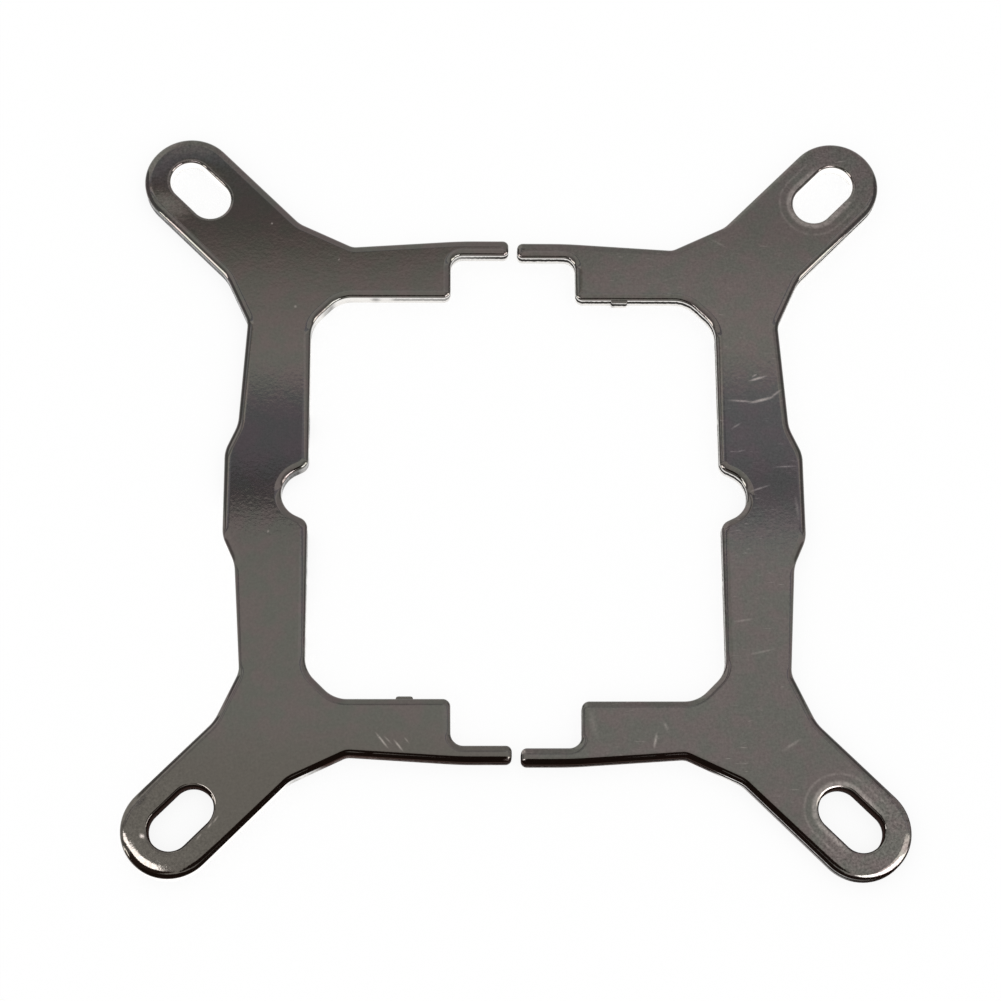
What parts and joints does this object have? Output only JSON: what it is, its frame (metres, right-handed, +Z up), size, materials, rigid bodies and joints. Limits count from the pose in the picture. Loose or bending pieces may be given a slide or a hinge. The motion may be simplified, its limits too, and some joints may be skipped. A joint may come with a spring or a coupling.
{
  "type": "cpu cooler mounting bracket",
  "caption": "Flat stamped steel bracket in two equal halves that close round a cooler's pump head, with splayed arms that end in diagonal screw slots.",
  "frame": {"origin": "centre of the bracket's outline on the surface that both halves lie on", "axes": "+X from the left half to the right half, +Y to the rear as the picture shows it, +Z up through the plate"},
  "size_m": [0.0898, 0.0914, 0.002],
  "materials": {
    "black_nickel_steel": "bright black nickel plating on stamped steel, lightly scratched"
  },
  "bodies": {
    "root": {"left_half": "black_nickel_steel", "right_half": "black_nickel_steel"}
  },
  "joints": []
}
